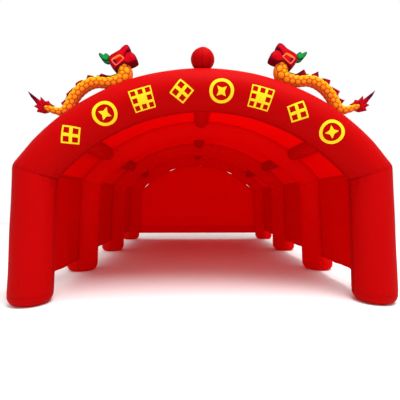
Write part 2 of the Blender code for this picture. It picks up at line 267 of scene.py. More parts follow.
def redCloth(name, lit, shaded, glow, through, seam):
    # the glow is the share of light that passes through the cloth instead of off it
    material, tree, shader, output = newMaterial(name)
    body = mixColours(tree, noiseOf(tree, cloth["blotchScale"]), colour(shaded, 0.0003, 0.0006),
                      colour(lit, 0.0004, 0.0008))
    sewn = mixColours(tree, valueOf(tree, "seam"), body, colour(seam, 0.0002, 0.0004))
    setSurface(tree, shader, sewn, cloth["roughness"], cloth["gloss"])
    creases = noiseOf(tree, cloth["creaseScale"], 4.0, Distortion=0.6)
    soft = bumpOf(tree, creases, cloth["creaseStrength"], cloth["creaseDepth"])
    fine = bumpOf(tree, weaveHeight(tree), cloth["weaveStrength"], cloth["weaveDepth"], Normal=soft)
    tree.links.new(fine, shader.inputs["Normal"])
    light = node(tree, "ShaderNodeBsdfTranslucent", Color=colour(through, 0.0005, 0.0008), Normal=soft)
    both = node(tree, "ShaderNodeMixShader", i0=glow, i1=shader.outputs[0], i2=light.outputs[0])
    tree.links.new(both.outputs[0], output.inputs["Surface"])
    return material


# how red a cloth is lit and shaded, its glow, and how red its glow and its seams are. The pieces are all one
# red cloth, painted lighter or darker piece by piece for the light that each gets: painted light on the inner
# arches, painted shade on the front arch and on the back wall's doubled band
frontClothPaintedShade = redCloth("frontClothPaintedShade", 0.47, 0.40, 0.22, 0.85, 0.28)
archCloth = redCloth("archCloth", 0.74, 0.64, 0.40, 0.96, 0.48)
beamCloth = redCloth("beamCloth", 0.60, 0.52, 0.25, 0.90, 0.32)
roofCloth = redCloth("roofCloth", 0.62, 0.54, 0.50, 0.95, 0.42)
wallCloth = redCloth("wallCloth", 0.58, 0.50, 0.48, 0.88, 0.42)
backCloth = redCloth("backCloth", 0.62, 0.54, 0.66, 0.96, 0.60)
bandClothPaintedShade = redCloth("bandClothPaintedShade", 0.52, 0.45, 0.62, 0.95, 0.60)


painted = {
    "roughness": 0.6,
    "gloss": 0.02,
    "wearScale": 9.0,
    "wear": 0.25,
    "creaseScale": 14.0,
    "creaseDepth": 0.004,
    "creaseStrength": 0.4,
}


def paintedCloth(name, paint, roughness=painted["roughness"], gloss=painted["gloss"]):
    # paint(tree) gives the colour's socket, made from the piece's own attributes
    material, tree, shader, _ = newMaterial(name)
    worn = maths(tree, "MULTIPLY", noiseOf(tree, painted["wearScale"]), painted["wear"])
    setSurface(tree, shader, mixColours(tree, worn, paint(tree), colour(0.02, 0.0, 0.0)), roughness, gloss)
    creases = noiseOf(tree, painted["creaseScale"], 4.0)
    soft = bumpOf(tree, creases, painted["creaseStrength"], painted["creaseDepth"])
    tree.links.new(soft, shader.inputs["Normal"])
    return material


def rampOf(tree, share, *stops):
    ramp = node(tree, "ShaderNodeValToRGB", i0=share)
    elements = ramp.color_ramp.elements
    while len(elements) < len(stops):
        elements.new(0.5)
    for element, (place, value) in zip(elements, stops):
        element.position = place
        element.color = value
    return ramp.outputs[0]


def scalePaint(tree):
    # the rows run from yellow along the spine to orange-red at the belly: partly the scales' own colours,
    # partly painted light, with the upper rows painted lighter as if lit from above
    rows = rampOf(tree, valueOf(tree, "tone"), (0.0, colour(0.74, 0.11, 0.02)),
                  (0.12, colour(0.78, 0.09, 0.010)), (0.45, colour(0.84, 0.18, 0.005)),
                  (1.0, colour(0.94, 0.50, 0.002)))
    necked = mixColours(tree, maths(tree, "MULTIPLY", valueOf(tree, "neck"), 0.6), rows,
                        colour(0.82, 0.20, 0.006))
    # painted highlight: each scale is painted lighter at the middle of its dome
    lit = mixColours(tree, maths(tree, "MULTIPLY", valueOf(tree, "dome"), 0.3), necked, colour(1.0, 0.66, 0.01))
    outlined = mixColours(tree, maths(tree, "POWER", valueOf(tree, "edge"), 1.1), lit, colour(0.22, 0.010, 0.0))
    return mixColours(tree, valueOf(tree, "crest"), outlined, colour(0.13, 0.0006, 0.006))


def redPaint(tree):
    # the rim darkens the red: on the fin and the tail tuft mostly their own darker colour, along each outline
    # partly printed edging and partly painted shade where the surface turns away
    body = mixColours(tree, valueOf(tree, "rim"), colour(0.47, 0.0004, 0.005), colour(0.09, 0.0003, 0.010))
    return mixColours(tree, valueOf(tree, "seam"), body, colour(0.12, 0.0003, 0.010))


def hornPaint(tree):
    # the rim darkens the green along the outline: partly printed edging, partly painted shade where the horn
    # turns away
    body = mixColours(tree, valueOf(tree, "rim"), colour(0.002, 0.25, 0.045), colour(0.0005, 0.045, 0.01))
    return mixColours(tree, valueOf(tree, "seam"), body, colour(0.0, 0.08, 0.012))


def eyePaint(tree):
    inside = mixColours(tree, valueOf(tree, "glow"), colour(0.50, 0.003, 0.002), colour(0.95, 0.20, 0.004))
    pupil = mixColours(tree, valueOf(tree, "pupil"), inside, colour(0.12, 0.0005, 0.05))
    return mixColours(tree, valueOf(tree, "rim"), pupil, colour(0.90, 0.17, 0.05))


def ballPaint(tree):
    # painted light: the top cap, its own panel, is painted much lighter than the rest of the ball, as if lit
    # from above
    body = mixColours(tree, valueOf(tree, "cap"), colour(0.40, 0.0003, 0.001), colour(0.95, 0.0008, 0.008))
    return mixColours(tree, valueOf(tree, "seam"), body, colour(0.12, 0.0003, 0.006))


def goldPaint(tree):
    return mixColours(tree, noiseOf(tree, 30.0, 2.0), colour(0.95, 0.56, 0.005), colour(1.0, 0.70, 0.012))



scaleCloth = paintedCloth("scaleCloth", scalePaint)
dragonCloth = paintedCloth("dragonCloth", redPaint)
hornCloth = paintedCloth("hornCloth", hornPaint)
eyeCloth = paintedCloth("eyeCloth", eyePaint)
ballCloth = paintedCloth("ballCloth", ballPaint)
goldCloth = paintedCloth("goldCloth", goldPaint, roughness=0.45, gloss=0.1)
print("cloth materials ready")


# arches

arch = {
    "radius": 0.355,
    "arcRadius": 3.57,
    "arcCentreHeight": -0.02,
    "shoulderHalfSpan": 2.81,
    "shoulderRadius": 0.342,
    "besideShoulderRadius": 0.351,
    "arcSteps": 18,
    "footHalfSpan": 2.90,
    "footFlatRadius": 0.22,
    "footRounding": 0.17,
    "footSteps": 8,
    "straightTop": 1.75,
    "sides": 72,
    "ringSpacing": 0.04,
    "sharpAngle": radians(50),
    "seamDepth": 0.007,
    "seamWidth": 0.022,
    "seamLine": 0.007,
    "calmBesideSeam": 0.12,
    "puckerDepth": 0.0035,
    "puckerReach": 0.075,
    "puckerLength": 0.15,
    "mitreDepth": 0.006,
    "mitreCreases": 14,
    "mitreReach": 0.16,
    "wrinkleDepth": 0.006,
    "wrinkleLength": 0.17,
    "wrinkleReach": 0.35,
    "footDepth": 0.003,
    "footCreases": 22,
    "footReach": 0.09,
    "swell": 0.004,
}
shoulderAngle = asin(arch["shoulderHalfSpan"] / arch["arcRadius"])
shoulderHeight = arch["arcCentreHeight"] + arch["arcRadius"] * cos(shoulderAngle)
shoulderAlong = arch["arcRadius"] * shoulderAngle
arcStep = shoulderAngle / (arch["arcSteps"] / 2)
turns = 2 * pi * np.arange(arch["sides"]) / arch["sides"]


def legOffset(height):
    share = height / shoulderHeight
    return arch["footHalfSpan"] + (arch["shoulderHalfSpan"] - arch["footHalfSpan"]) * share


def legRadius(height):
    share = max(0.0, height - arch["footRounding"]) / (shoulderHeight - arch["footRounding"])
    return arch["radius"] + (arch["shoulderRadius"] - arch["radius"]) * share


def arcRadius(angle):
    besideShoulder = (shoulderAngle - np.abs(angle)) / arcStep
    radii = (arch["shoulderRadius"], arch["besideShoulderRadius"], arch["radius"])
    return np.interp(besideShoulder, (0.0, 1.0, 2.0), radii)


def arcPoint(angle, radius):
    return radius * sin(angle), arch["arcCentreHeight"] + radius * cos(angle)


def tubeRelief(along, turn, seamTurns, number):
    # how far the cloth swells or dips, and where its seams run
    offset = arch["swell"] * (np.sin(along * 2.3 + number) * np.sin(turn * 2 + number * 1.7)
                              + 0.6 * np.sin(along * 5.1 - number * 2) * np.sin(turn * 3 + along))
    seam = np.zeros_like(along + turn)
    for place in seamTurns:
        away = np.abs((turn - place + pi) % (2 * pi) - pi) * arch["radius"]
        wave = 2 * pi * along / arch["puckerLength"]
        pucker = np.sin(wave + 1.3 * np.sin(along * 3.1 + place)) * bell(away, arch["puckerReach"])
        offset = offset * smoothly(away / arch["calmBesideSeam"])
        offset = offset + arch["puckerDepth"] * pucker * smoothly(away / arch["seamWidth"])
        offset = offset - arch["seamDepth"] * bell(away, arch["seamWidth"])
        seam = np.maximum(seam, bell(away, arch["seamLine"]))
    fromMitre = np.abs(np.abs(along) - shoulderAlong)
    inner = smoothly(-np.sin(turn))
    creases = np.sin(turn * arch["mitreCreases"] + np.sign(along))
    pinch = creases * bell(fromMitre, arch["mitreReach"]) * smoothly(fromMitre / 0.03)
    wrinkle = np.sin(fromMitre * 2 * pi / arch["wrinkleLength"]) * bell(fromMitre, arch["wrinkleReach"])
    offset = offset - arch["mitreDepth"] * bell(fromMitre, 0.02)
    offset = offset + pinch * (0.003 + 0.006 * inner)
    offset = offset + arch["wrinkleDepth"] * inner * wrinkle
    seam = np.maximum(seam, 0.5 * bell(fromMitre, 0.008))
    fromFoot = np.abs(shoulderAlong + shoulderHeight - arch["footRounding"] - np.abs(along))
    creases = np.sin(turn * arch["footCreases"]) * bell(fromFoot, arch["footReach"])
    offset = offset - arch["footDepth"] * bell(fromFoot, 0.02)
    offset = offset + arch["footDepth"] * creases * smoothly(fromFoot / 0.02)
    seam = np.maximum(seam, 0.4 * bell(fromFoot, arch["seamLine"]))
    return offset, seam


def ringOf(centre, outward, reachOut, reachY):
    sine, cosine = np.sin(turns), np.cos(turns)
    points = together(centre[0] + outward[0] * reachOut * sine, reachY * cosine,
                      centre[1] + outward[1] * reachOut * sine)
    normals = together(outward[0] * sine, cosine, outward[1] * sine)
    return points, normals


def halfTubeRings():
    # from the right foot up the leg, round the mitre and along the arc to the crown
    rings = []
    foot, flat = arch["footRounding"], arch["footFlatRadius"]
    for step in range(arch["footSteps"] + 1):
        turn = pi / 2 * step / arch["footSteps"]
        height = foot * (1 - cos(turn))
        reach = flat + (arch["radius"] - flat) * sin(turn)
        points, normals = ringOf((legOffset(height), height), (1.0, 0.0), reach, reach)
        normals[:, 2] = -cos(turn)
        rings.append((shoulderAlong + shoulderHeight - height, points, normals * sin(turn)))
    straight = arch["straightTop"]
    count = round((straight - foot) / arch["ringSpacing"])
    for step in range(1, count + 1):
        height = foot + (straight - foot) * step / count
        reach = legRadius(height)
        ring = ringOf((legOffset(height), height), (1.0, 0.0), reach, reach)
        rings.append((shoulderAlong + shoulderHeight - height, *ring))
    halfTurn = (pi / 2 - shoulderAngle) / 2
    reach = arch["shoulderRadius"]
    mitre = ringOf((arch["shoulderHalfSpan"], shoulderHeight), (cos(halfTurn), sin(halfTurn)),
                   reach / cos(halfTurn), reach)
    rings += blendRings(rings[-1], (shoulderAlong, *mitre))
    first = shoulderAngle - arcStep
    radius = arcRadius(first)
    ring = ringOf(arcPoint(first, arch["arcRadius"]), (sin(first), cos(first)), radius, radius)
    rings += blendRings(rings[-1], (first * arch["arcRadius"], *ring))
    count = round(first * arch["arcRadius"] / arch["ringSpacing"])
    for step in range(1, count + 1):
        angle = first * (1 - step / count)
        radius = arcRadius(angle)
        ring = ringOf(arcPoint(angle, arch["arcRadius"]), (sin(angle), cos(angle)), radius, radius)
        rings.append((angle * arch["arcRadius"], *ring))
    return rings


def blendRings(first, last):
    count = max(2, round(abs(first[0] - last[0]) / arch["ringSpacing"]))
    found = []
    for step in range(1, count + 1):
        share = step / count
        found.append(tuple(a + (b - a) * share for a, b in zip(first, last)))
    return found


def makeArch(number, seamTurns):
    place = archPlaces[number - 1]
    right = halfTubeRings()
    flip = np.array((-1.0, 1.0, 1.0))
    rings = right + [(-along, points * flip, normals * flip) for along, points, normals in right[-2::-1]]
    points, uv, seams = [], [], []
    for along, ring, normals in rings:
        offset, seam = tubeRelief(np.full_like(turns, along), turns, seamTurns, number)
        moved = ring + normals * offset[:, None]
        moved[:, 1] += place
        moved[:, 2] = np.maximum(moved[:, 2], 0.0)
        points.append(moved)
        uv.append(together(along, turns * arch["radius"]))
        seams.append(seam)
    piece = newPiece(f"archTube{number}", np.concatenate(points), tubeFaces(len(rings), arch["sides"]),
                     uv=np.concatenate(uv), seam=np.concatenate(seams))
    faceOutwards(piece)
    piece.data.set_sharp_from_angle(angle=arch["sharpAngle"])
    # the front arch takes the darker copy of the red cloth as painted shade, the inner arches the lighter copy
    # as painted light
    return finishPiece(piece, frontClothPaintedShade if number == 1 else archCloth, "red_cloth", f"arch_{number}")


towardsBack, ridge, towardsFront, underside = 0.0, pi / 2, pi, 1.5 * pi
archSeams = {1: (towardsBack, underside)}  # the front arch's face is one cloth
for number in (2, 3, 4):
    archSeams[number] = (towardsBack, towardsFront, ridge, underside)
for number, seamTurns in archSeams.items():
    makeArch(number, seamTurns)
print("arches made")


# beams

beam = {
    "radius": 0.15,
    "haunchAngle": radians(38),
    "gap": 0.001,
    "sides": 40,
    "ringSpacing": 0.045,
    "bulge": 0.004,
    "endCreases": 16,
    "endCreaseDepth": 0.003,
    "endDepth": 0.006,
    "seamDepth": 0.005,
}


def makeBeam(nodeName, name, angle, bay):
    front, back = archPlaces[bay], archPlaces[bay + 1]
    centreX, centreZ = arcPoint(angle, arch["arcRadius"])
    around = 2 * pi * np.arange(beam["sides"]) / beam["sides"]
    outwards = beam["radius"] * np.sin(around)
    seat = np.sqrt((arch["radius"] + beam["gap"]) ** 2 - outwards ** 2)
    count = round((back - front) / beam["ringSpacing"])
    points, uv, seams = [], [], []
    for step in range(count + 1):
        share = step / count
        along = (front + seat) * (1 - share) + (back - seat) * share
        fromEnd = np.minimum(along - front - seat, back - seat - along)
        fromSeam = np.abs(np.sin(around)) * beam["radius"]
        reach = beam["radius"] + beam["bulge"] * np.sin(along * 4.4 + bay) * np.sin(around * 2)
        reach += beam["endCreaseDepth"] * np.sin(around * beam["endCreases"]) * bell(fromEnd, 0.10)
        reach -= beam["endDepth"] * bell(fromEnd, 0.02)
        reach -= beam["seamDepth"] * bell(fromSeam, 0.016)
        across, up = reach * np.cos(around), reach * np.sin(around)
        points.append(together(centreX + across * cos(angle) + up * sin(angle), along,
                               centreZ - across * sin(angle) + up * cos(angle)))
        uv.append(together(along, around * beam["radius"]))
        seams.append(np.maximum(bell(fromEnd, 0.008), bell(fromSeam, 0.006)))
    piece = newPiece(name, np.concatenate(points), tubeFaces(count + 1, beam["sides"]),
                     uv=np.concatenate(uv), seam=np.concatenate(seams))
    faceOutwards(piece)
    piece.data.set_sharp_from_angle(angle=arch["sharpAngle"])
    return finishPiece(piece, beamCloth, "red_cloth", nodeName)


for bay in range(3):
    makeBeam(f"ridge_beam_{bay + 1}", f"ridgeBeam{bay + 1}", 0.0, bay)
    makeBeam(f"haunch_beam_left_{bay + 1}", f"haunchBeamLeft{bay + 1}", -beam["haunchAngle"], bay)
    makeBeam(f"haunch_beam_right_{bay + 1}", f"haunchBeamRight{bay + 1}", beam["haunchAngle"], bay)
print("beams made")


# roof, side walls and back wall

sheet = {
    "thickness": 0.002,
    "gap": -0.005,  # the edges are sewn into the grooves of the tubes' seams
    "seamWidth": 0.02,
    "sag": 0.03,
    "sideFolds": 0.007,
    "endFolds": 0.006,
    "hemWidth": 0.035,
}
halfBeamAngle = (beam["radius"] + sheet["gap"]) / arch["arcRadius"]


def clothArea(piece):
    shape = bmesh.new()
    shape.from_mesh(piece.data)
    area = sum(face.calc_area() for face in shape.faces)
    shape.free()
    return area


def makeSheet(name, grid, uv, seam, nodeName, material, held, restsOn, slotName="roof_cloth"):
    rows, columns = grid.shape[:2]
    piece = newPiece(name, grid.reshape(-1, 3), gridFaces(rows, columns), uv=uv.reshape(-1, 2),
                     seam=seam.ravel())
    area = clothArea(piece)
    thicken(piece, sheet["thickness"])
    return finishPiece(piece, material, slotName, nodeName)


def emptyGrid(rows, columns):
    return np.zeros((rows, columns, 3)), np.zeros((rows, columns, 2)), np.zeros((rows, columns))


def roofGrid(start, end, bay, side, seed):
    rows, columns = max(8, round((end - start) * arch["arcRadius"] / 0.06)), 44
    grid, uv, seam = emptyGrid(rows, columns)
    share = np.linspace(0, 1, columns)
    for row in range(rows):
        rise = row / (rows - 1)
        angle = start + (end - start) * rise
        inset = arcRadius(angle) + sheet["gap"]
        front, back = archPlaces[bay] + inset, archPlaces[bay + 1] - inset
        middle = np.sin(pi * share) * sin(pi * rise)
        along = front + (back - front) * share
        fromEdge = np.minimum(along - front, back - along)
        fold = sheet["sideFolds"] * bell(fromEdge, 0.22)
        fold *= np.sin(rise * 37 + 2 * np.sin(share * 5 + seed))
        endFold = sheet["endFolds"] * bell(min(rise, 1 - rise) * 2, 0.5)
        fold += endFold * np.sin(share * 21 + 3 * rise + seed)
        fold *= smoothly(fromEdge / 0.05) * sin(pi * rise) ** 0.5
        sag = sheet["sag"] * middle + fold
        radius = arch["arcRadius"] - sag
        grid[row] = together(side * radius * sin(angle), along, arch["arcCentreHeight"] + radius * cos(angle))
        uv[row] = together(along, angle * arch["arcRadius"])
        fromEnd = min(rise, 1 - rise) * (end - start) * arch["arcRadius"]
        seam[row] = np.maximum(bell(fromEdge, sheet["seamWidth"]), bell(fromEnd, sheet["seamWidth"]))
    return grid, uv, seam


wall = {
    # where each fold lies along the bay, its width and its depth inwards
    "folds": ((0.16, 0.10, 0.030), (0.38, 0.12, -0.022), (0.60, 0.10, 0.026), (0.84, 0.09, -0.018)),
    "hems": {"Left": (0.30, 0.37, 0.37), "Right": (0.36, 0.37, 0.37)},
    "ripple": 0.010,
    "pull": 0.012,
    "rows": 56,
    "columns": 64,
}


def wallGrid(bay, side, hem, seed):
    top = shoulderHeight
    rows, columns = wall["rows"], wall["columns"]
    grid, uv, seam = emptyGrid(rows, columns)
    share = np.linspace(0, 1, columns)
    fold = sum(depth * bell(share - middle, width) for middle, width, depth in wall["folds"])
    for row in range(rows):
        height = hem + (top - hem) * row / (rows - 1)
        hang = (top - height) / (top - hem)
        inset = legRadius(height) + sheet["gap"]
        front, back = archPlaces[bay] + inset, archPlaces[bay + 1] - inset
        along = front + (back - front) * share
        fromEdge = np.minimum(along - front, back - along)
        ripple = np.sin(share * 31 + 1.5 * np.sin(height * 2 + seed)) * bell(1 - hang, 0.45)
        pull = np.sin(height * 11 + seed) * bell(fromEdge, 0.20) * sin(pi * hang)
        inwards = hang * (fold + wall["ripple"] * ripple) * np.sin(pi * share) + wall["pull"] * pull
        x = legOffset(height) - inwards * smoothly(fromEdge / 0.06)
        grid[row] = together(side * x, along, height)
        uv[row] = together(along, height)
        fromHem = height - hem - sheet["hemWidth"]
        across = max(bell(fromHem, 0.012), bell(top - height, sheet["seamWidth"]))
        seam[row] = np.maximum(bell(fromEdge, sheet["seamWidth"]), across)
    return grid, uv, seam


for bay in range(3):
    arches = [f"arch_{bay + 1}", f"arch_{bay + 2}"]
    for word, side in (("Left", -1), ("Right", 1)):
        low = word.lower()
        upper = roofGrid(halfBeamAngle, beam["haunchAngle"] - halfBeamAngle, bay, side, bay * 3 + side)
        makeSheet(f"roofUpper{word}{bay + 1}", *upper, f"roof_upper_{low}_{bay + 1}", roofCloth, "stretched",
                  arches + [f"ridge_beam_{bay + 1}"])
        lower = roofGrid(beam["haunchAngle"] + halfBeamAngle, shoulderAngle, bay, side, bay * 5 + side)
        makeSheet(f"roofLower{word}{bay + 1}", *lower, f"roof_lower_{low}_{bay + 1}", roofCloth, "stretched",
                  arches + [f"haunch_beam_{low}_{bay + 1}"])
        hung = wallGrid(bay, side, wall["hems"][word][bay], bay * 2 + side)
        makeSheet(f"sideWall{word}{bay + 1}", *hung, f"side_wall_{low}_{bay + 1}", wallCloth, "hung", arches)
print("roof and side walls made")

backWall = {
    "bandTop": 0.545,
    "hem": 0.25,
    # how far the cloth stays off the arch, by the piece of the arc that it is laced to
    "lacingGaps": {1: 0.024, 5: 0.020, 9: 0.008, 13: 0.022, 16: 0.022},
    "centreHeight": 1.35,
    "rays": 320,
    "rings": 28,
    "billow": 0.02,
    "gathers": 18,
    "gatherDepth": 0.012,
    "bandSway": 0.012,
}


def backOutline():
    # down the right leg's line, along the laced inner edge of the arc and down the left leg
    low = backWall["bandTop"]
    halfTurn = (pi / 2 - shoulderAngle) / 2
    cornerX = arch["shoulderHalfSpan"] - arch["shoulderRadius"] - sheet["gap"]
    cornerZ = shoulderHeight - arch["shoulderRadius"] * tan(halfTurn)
    footX = legOffset(low) - legRadius(low) - sheet["gap"]
    points = [(footX, low), (cornerX, cornerZ)]
    count = arch["arcSteps"] * 8
    for k in range(8, count - 7):
        angle = shoulderAngle * (1 - 2 * k / count)
        step = (angle + shoulderAngle) / arcStep
        laced = int(step + 1e-6)
        depth = backWall["lacingGaps"].get(laced, 0.0) * sin(pi * (step - laced))
        inner = arch["arcRadius"] - arcRadius(angle) - sheet["gap"] - depth
        points.append(arcPoint(angle, inner))
    return points + [(-cornerX, cornerZ), (-footX, low)]


def reachTo(outline, turn):
    out, rise = cos(turn), sin(turn)
    best = 10.0
    for (x1, z1), (x2, z2) in zip(outline, outline[1:] + outline[:1]):
        startX, startZ = x1, z1 - backWall["centreHeight"]
        alongX, alongZ = x2 - x1, z2 - z1
        across = out * alongZ - rise * alongX
        if abs(across) > 1e-9:
            reach = (startX * alongZ - startZ * alongX) / across
            share = (startX * rise - startZ * out) / across
            if reach > 0 and -1e-6 <= share <= 1 + 1e-6:
                best = min(best, reach)
    return best


def makeBackWall():
    place = archPlaces[-1]
    rays, rings = backWall["rays"], backWall["rings"]
    outline = backOutline()
    rayTurns = [2 * pi * ray / rays for ray in range(rays)]
    for x, z in outline[:2] + outline[-2:]:
        toCorner = atan2(z - backWall["centreHeight"], x) % (2 * pi)
        rayTurns[round(toCorner / (2 * pi) * rays) % rays] = toCorner
    reaches = [reachTo(outline, turn) for turn in rayTurns]
    centreZ = backWall["centreHeight"]
    points, uv, seam = [(0.0, place, centreZ)], [(0.0, centreZ)], [0.0]
    for ring in range(1, rings + 1):
        share = ring / rings
        for turn, reach in zip(rayTurns, reaches):
            x, z = reach * share * cos(turn), centreZ + reach * share * sin(turn)
            fold = backWall["gatherDepth"] * sin(turn * backWall["gathers"])
            fold *= bell(1 - share, 0.12) * smoothly((1 - share) / 0.03)
            billow = backWall["billow"] * sin(pi * share) * sin(x * 1.7 + 0.6)
            points.append((x, place + fold + billow * share, z))
            uv.append((x, z))
            seam.append(bell(reach * (1 - share), sheet["seamWidth"]))
    piece = newPiece("backWall", points, fanFaces(rays, rings), uv=uv, seam=seam)
    area = clothArea(piece)
    thicken(piece, sheet["thickness"])
    finishPiece(piece, backCloth, "red_cloth", "back_wall")


def makeBand():
    low, high = backWall["hem"], backWall["bandTop"]
    rows, columns = 14, 160
    grid, uv, seam = emptyGrid(rows, columns)
    share = np.linspace(-1, 1, columns)
    for row in range(rows):
        height = low + (high - low) * row / (rows - 1)
        x = share * (legOffset(height) - legRadius(height) - sheet["gap"])
        hang = (high - height) / (high - low)
        sway = backWall["bandSway"] * hang * np.sin(x * 7) * np.sin(x * 2.3 + 1)
        sway *= smoothly((1 - np.abs(share)) / 0.1)
        grid[row] = together(x, archPlaces[-1] + sway, height)
        uv[row] = together(x, height)
        seam[row] = max(bell(high - height, 0.012), bell(height - low - sheet["hemWidth"], 0.01))
    # the band takes a darker copy of the red cloth, painted shade for its doubled hem
    makeSheet("backWallBand", grid, uv, seam, "back_wall_band", bandClothPaintedShade, "hung", ["arch_4"], "dark_band")


makeBackWall()
makeBand()
print("back wall made")


# what lies on the front arch stays clear of its tube

def onFrontArch(angle, turn, lift):
    offset, _ = tubeRelief(angle * arch["arcRadius"], turn, archSeams[1], 1)
    reach = arcRadius(angle) + offset + lift
    fromCentre = arch["arcRadius"] + reach * np.sin(turn)
    surface = together(fromCentre * np.sin(angle), archPlaces[0] + reach * np.cos(turn),
                       arch["arcCentreHeight"] + fromCentre * np.cos(angle))
    return surface, reach


def clearOfFrontArch(places, lift=0.0015):
    x, y, z = places[:, 0], places[:, 1] - archPlaces[0], places[:, 2] - arch["arcCentreHeight"]
    angle = np.arctan2(x, z)
    outwards = np.hypot(x, z) - arch["arcRadius"]
    turn = np.arctan2(outwards, y)
    surface, reach = onFrontArch(angle, turn, lift)
    inside = np.hypot(outwards, y) < reach
    return np.where(inside[:, None], surface, places)


# ball

ball = {
    "radius": 0.2,
    "place": (-0.03, archPlaces[0], 4.07),
    "gores": 8,
    "goreDepth": 0.010,
    "capAngle": radians(38),
    "capWave": 0.06,
    "capDepth": 0.007,
    "dents": 0.006,
    "wrinkles": 0.0025,
}


def makeBall():
    deselectAll()
    bpy.ops.mesh.primitive_uv_sphere_add(segments=96, ring_count=64, radius=ball["radius"],
                                         location=ball["place"])
    piece = bpy.context.object
    piece.name = "crownBall"
    bpy.ops.object.transform_apply(location=True, rotation=False, scale=False)
    places = placesOf(piece) - ball["place"]
    away = places / np.linalg.norm(places, axis=1)[:, None]
    around = np.arctan2(away[:, 1], away[:, 0])
    up = np.arccos(np.clip(away[:, 2], -1, 1))
    goreEdge = np.abs(np.sin(around * ball["gores"] / 2 + 0.4))
    belowCap = smoothly((up - ball["capAngle"]) / 0.1)
    fromCap = up - ball["capAngle"] - ball["capWave"] * np.sin(around * 3)
    capEdge = bell(fromCap, 0.05)
    size = ball["radius"] - ball["goreDepth"] * bell(goreEdge, 0.16) * belowCap - ball["capDepth"] * capEdge
    size -= ball["dents"] * (0.5 + 0.5 * np.sin(around * 2 + 1) * np.sin(up * 3 + 0.5))
    wrinkles = np.sin(around * 21 + 2 * np.sin(up * 5)) * (capEdge + 0.6 * bell(up - 2.1, 0.3))
    size += ball["wrinkles"] * wrinkles
    setPlaces(piece, clearOfFrontArch(ball["place"] + away * size[:, None]))
    # the cap's mask marks the top panel and carries painted light from above
    addValues(piece, seam=np.maximum(bell(goreEdge, 0.12) * belowCap, 0.7 * capEdge),
              cap=smoothly(0.5 - fromCap / 0.08))
    piece.data.shade_smooth()
    finishPiece(piece, ballCloth, "red_cloth", "crown_ball")


makeBall()
print("ball made")


# dragons

# the side of the tent, and how far each dragon lies outwards and up from the tables below
dragonShifts = {"Left": (-1, 0.0, -0.027), "Right": (1, -0.032, 0.024)}
# distance from the middle of the tent, height, radius, from inside the head to the tail
dragonBody = (
    (1.380, 4.049, 0.098),
    (1.354, 3.965, 0.106),
    (1.325, 3.889, 0.116),
    (1.320, 3.822, 0.123),
    (1.363, 3.752, 0.118),
    (1.447, 3.712, 0.112),
    (1.548, 3.694, 0.099),
    (1.649, 3.688, 0.089),
    (1.776, 3.702, 0.092),
    (1.894, 3.678, 0.095),
    (2.003, 3.617, 0.095),
    (2.113, 3.519, 0.095),
    (2.202, 3.392, 0.095),
    (2.262, 3.272, 0.096),
    (2.352, 3.212, 0.080),
    (2.474, 3.222, 0.058),
    (2.585, 3.256, 0.052),
    (2.670, 3.280, 0.044),
)
scales = {
    "pitch": 0.094,
    "columnTurn": radians(45),
    "relief": 0.007,
    "ringSpacing": 0.006,
    "sides": 96,
    "columns": 4,
    "bellyFrom": radians(132),
    "bellyWrinkles": 0.002,
    # partly the scales' own colours, partly painted light: the upper columns are painted lighter as if lit from
    # above
    "tones": (1.0, 0.45, 0.12, 0.0),  # from the spine's column down to the belly's
}


def smoothRoute(rows, spacing):
    rows = np.array(rows)
    ends = np.vstack((2 * rows[0] - rows[1], rows, 2 * rows[-1] - rows[-2]))
    dense = []
    for corners in zip(ends, ends[1:], ends[2:], ends[3:]):
        dense += [curved(*corners, t) for t in np.arange(0, 1, 0.02)]
    dense = np.array(dense + [rows[-1]])
    lengths = np.concatenate(([0.0], np.cumsum(np.hypot(*np.diff(dense[:, :2], axis=0).T))))
    wanted = np.linspace(0, lengths[-1], round(lengths[-1] / spacing) + 1)
    return wanted, together(*(np.interp(wanted, lengths, dense[:, k]) for k in range(3)))


def scalePattern(along, fromSpine):
    # how near a point is to its scale's middle and to its scale's edge, and the row that it is in
    reaches, rows = [], []
    for column in range(scales["columns"]):
        middle = (column + 0.5) * scales["columnTurn"]
        across = (fromSpine - middle) / (0.56 * scales["columnTurn"])
        shifted = along / scales["pitch"] - 0.5 * (column % 2)
        nearest = np.round(shifted)
        other = nearest + np.where(shifted > nearest, 1, -1)
        for place in (nearest, other):
            reaches.append(np.hypot((shifted - place) / 0.5, across))
            rows.append(np.full_like(reaches[-1], column))
    reaches, rows = np.array(reaches), np.array(rows)
    order = np.argsort(reaches, axis=0)
    first = np.take_along_axis(reaches, order[:1], axis=0)[0]
    second = np.take_along_axis(reaches, order[1:2], axis=0)[0]
    row = np.take_along_axis(rows, order[:1], axis=0)[0]
    return first, 1 - smoothly((second - first) / 0.42), row


